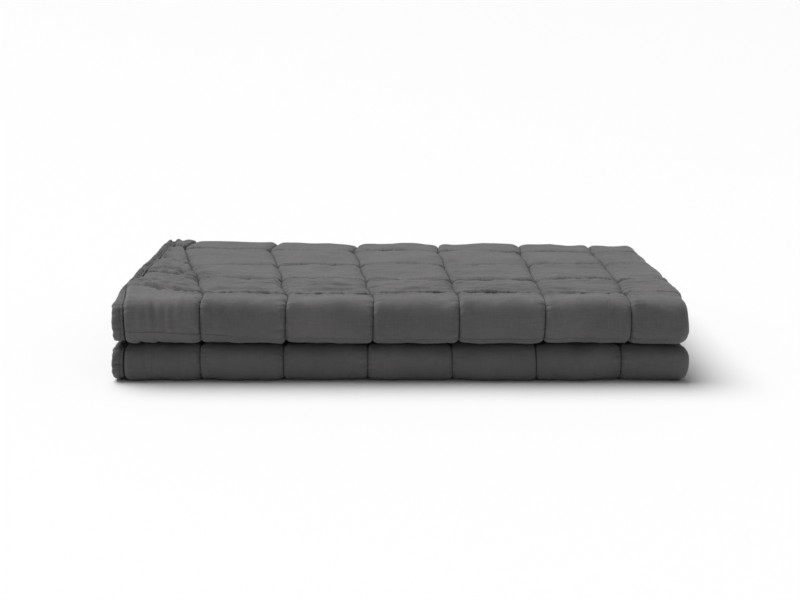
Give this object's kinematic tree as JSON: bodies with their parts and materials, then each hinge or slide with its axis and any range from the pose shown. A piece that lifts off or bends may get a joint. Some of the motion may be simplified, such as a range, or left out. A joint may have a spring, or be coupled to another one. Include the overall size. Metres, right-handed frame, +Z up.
{
  "type": "weighted blanket",
  "caption": "Quilted weighted blanket folded into a flat stack of two thick tiers, with sewn square pockets of filling and a bound edge.",
  "frame": {"origin": "centre of the folded stack on the surface it lies on", "axes": "+X along the bends from the open edges to the soft fold, -Y towards the side with the two tier bends, +Z up"},
  "size_m": [0.772, 0.5023, 0.1126],
  "materials": {
    "shell_cloth": "matte charcoal grey plain-weave cotton, quilted in pockets",
    "binding_cloth": "matte charcoal grey plain-weave cotton strip, folded over the edge and sewn down"
  },
  "bodies": {
    "root": {"quilt": "shell_cloth", "edge_binding": "binding_cloth"}
  },
  "joints": []
}
